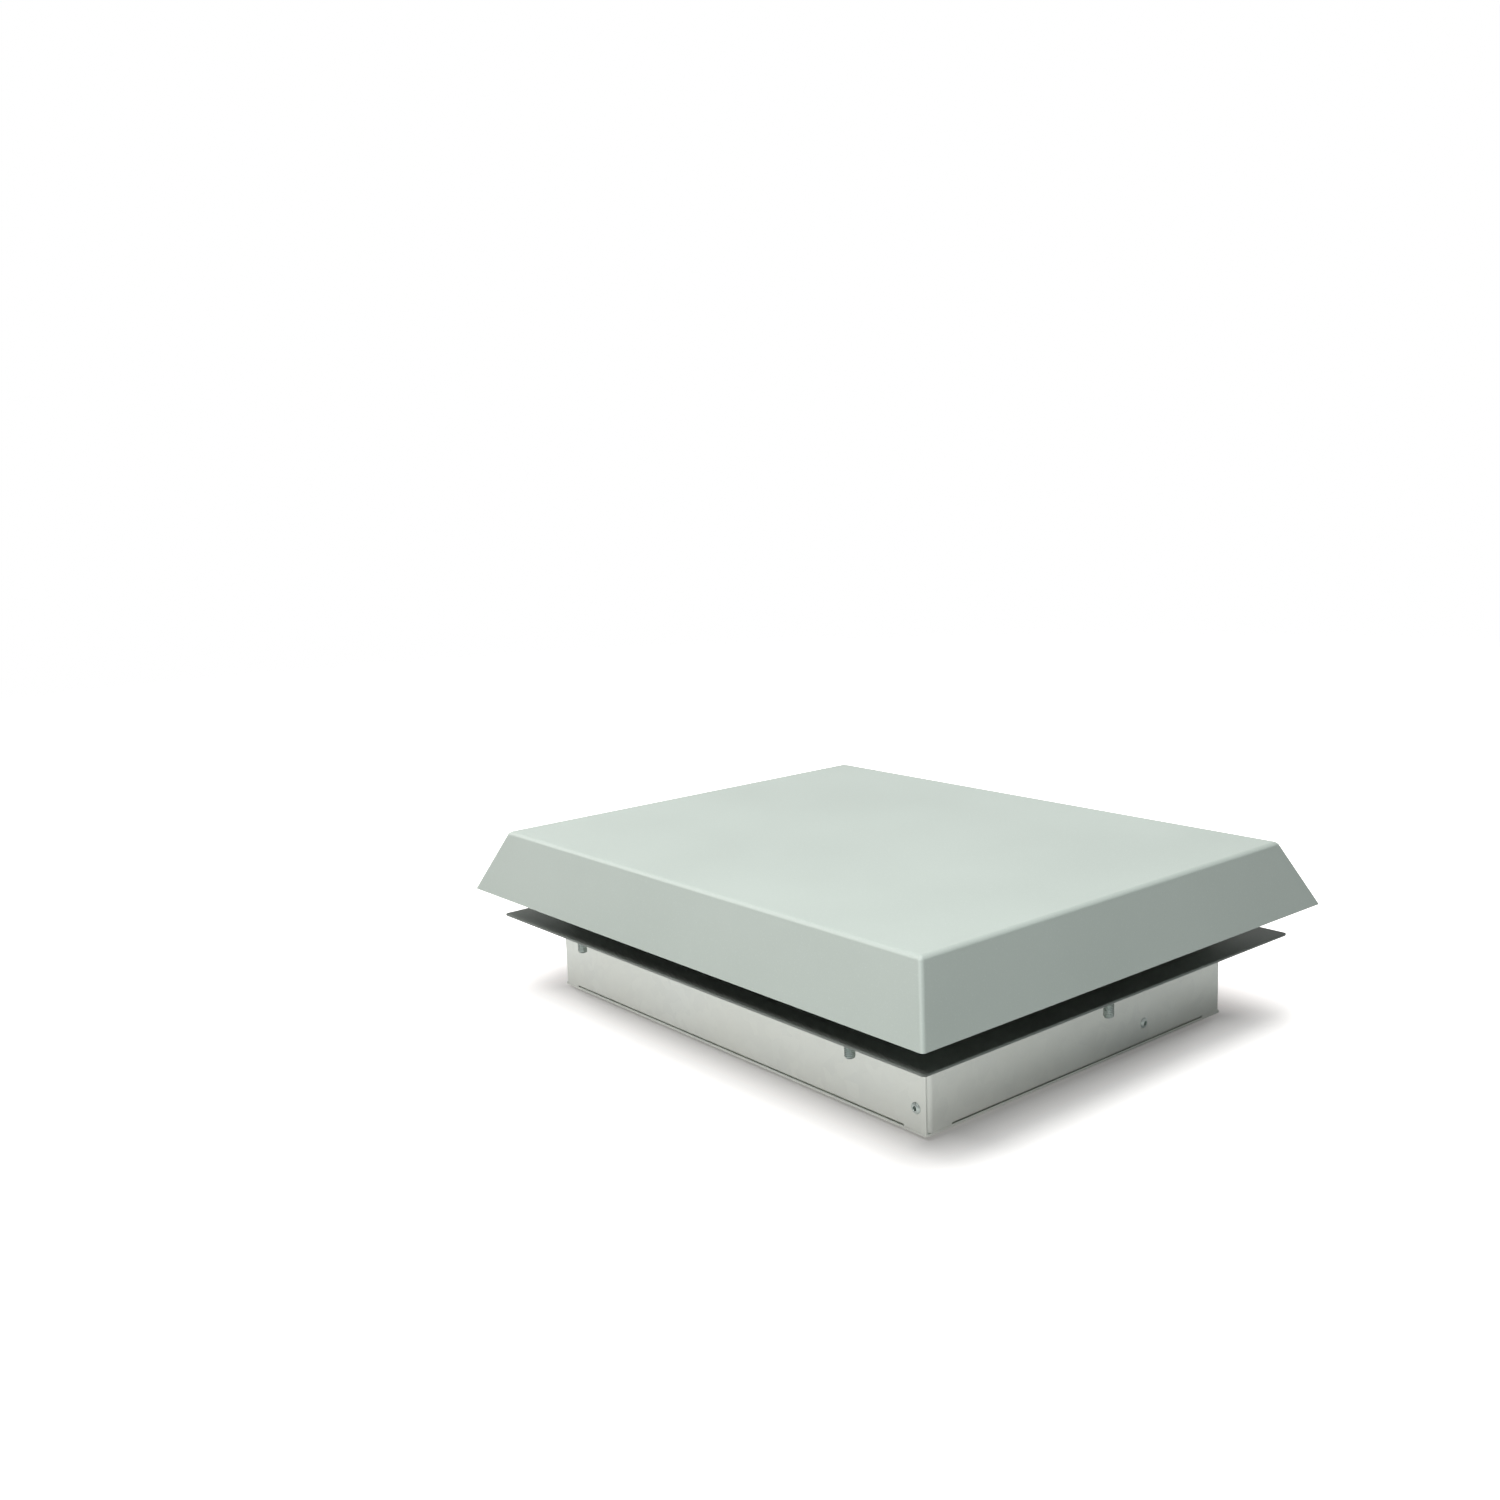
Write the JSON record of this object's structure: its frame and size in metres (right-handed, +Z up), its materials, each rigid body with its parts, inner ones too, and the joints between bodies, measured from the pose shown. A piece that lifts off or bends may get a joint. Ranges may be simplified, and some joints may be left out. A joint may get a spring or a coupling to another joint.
{
  "type": "enclosure roof fan",
  "caption": "Roof-mounted extractor fan: galvanised box with a ring grille, painted flange with studs, centrifugal impeller and a sloping lift-off rain hood.",
  "frame": {"origin": "middle of the plane that the lowest screw heads touch, under the centre of the grille", "axes": "+Z up through the impeller's axis, +X along the long side away from the connector, +Y along the short side"},
  "size_m": [0.418, 0.342, 0.1094],
  "materials": {
    "painted_sheet": "light grey powder coat",
    "galvanised_sheet": "galvanised with fine spangle",
    "zinc_fastener": "zinc plated",
    "black_sheet": "black, satin",
    "gasket_foam": "closed-cell foam",
    "grommet_rubber": "moulded rubber",
    "housing_plastic": "dark grey, fine grain",
    "contact_brass": "machined",
    "label_film": "bare silver-beige film",
    "label_film_dark": "bare beige film",
    "nozzle_sheet": "spun sheet, light grey",
    "rotor_metal": "turned, teal lacquer",
    "impeller_sheet": "dark satin coat",
    "balance_metal": "pale bronze ring",
    "machined_steel": "ground",
    "bearing_steel": "polished",
    "stator_sheet": "stacked sheets",
    "coil_wire": "enamelled copper",
    "motor_casting": "die cast",
    "capacitor_can": "white can"
  },
  "bodies": {
    "base": {"bottom_plate": "galvanised_sheet", "connector_plate": "galvanised_sheet", "front_left_wall": "galvanised_sheet", "back_right_wall": "galvanised_sheet", "capacitor_clip": "galvanised_sheet", "motor_bracket": "galvanised_sheet", "flange_plate": "painted_sheet", "plate_screws": "zinc_fastener", "plate_nuts": "zinc_fastener", "fan_screws": "zinc_fastener", "earth_screw": "zinc_fastener", "earth_washer": "zinc_fastener", "earth_nut": "zinc_fastener", "corner_rivets": "zinc_fastener", "clip_rivet": "zinc_fastener", "flange_studs": "zinc_fastener", "lower_standoffs": "zinc_fastener", "upper_standoffs": "zinc_fastener", "bracket_nuts": "zinc_fastener", "stator_screws": "zinc_fastener", "hood_posts": "zinc_fastener", "post_screws": "zinc_fastener", "outlet_guard": "black_sheet", "guard_screws": "black_sheet", "flange_gasket": "gasket_foam", "post_grommets": "grommet_rubber", "connector_housing": "housing_plastic", "connector_contacts": "contact_brass", "upper_label": "label_film", "lower_label": "label_film_dark", "inlet_nozzle": "nozzle_sheet", "connector_clips": "machined_steel", "lower_bearing": "bearing_steel", "upper_bearing": "bearing_steel", "bearing_balls": "bearing_steel", "stator_core": "stator_sheet", "stator_coils": "coil_wire", "stator_flange": "motor_casting", "capacitor": "capacitor_can"},
    "rotor": {"shaft": "machined_steel", "shaft_circlip": "machined_steel", "rotor_can": "rotor_metal", "rotor_cage": "motor_casting", "bearing_inner_rings": "bearing_steel", "impeller_back_plate": "impeller_sheet", "impeller_blades": "impeller_sheet", "impeller_shroud": "impeller_sheet", "impeller_rivets": "machined_steel", "balance_ring": "balance_metal"},
    "hood": {"hood": "painted_sheet", "hood_strips": "galvanised_sheet", "hood_pins": "zinc_fastener"}
  },
  "joints": [
    {"name": "rotor_spin", "type": "hinge", "parent": "base", "child": "rotor", "pos_m": [0, 0, 0.0751], "axis": [0, 0, 1], "continuous": true},
    {"name": "hood_lift", "type": "slide", "parent": "base", "child": "hood", "axis": [0, 0, 1], "range_m": [0, 0.06]}
  ]
}
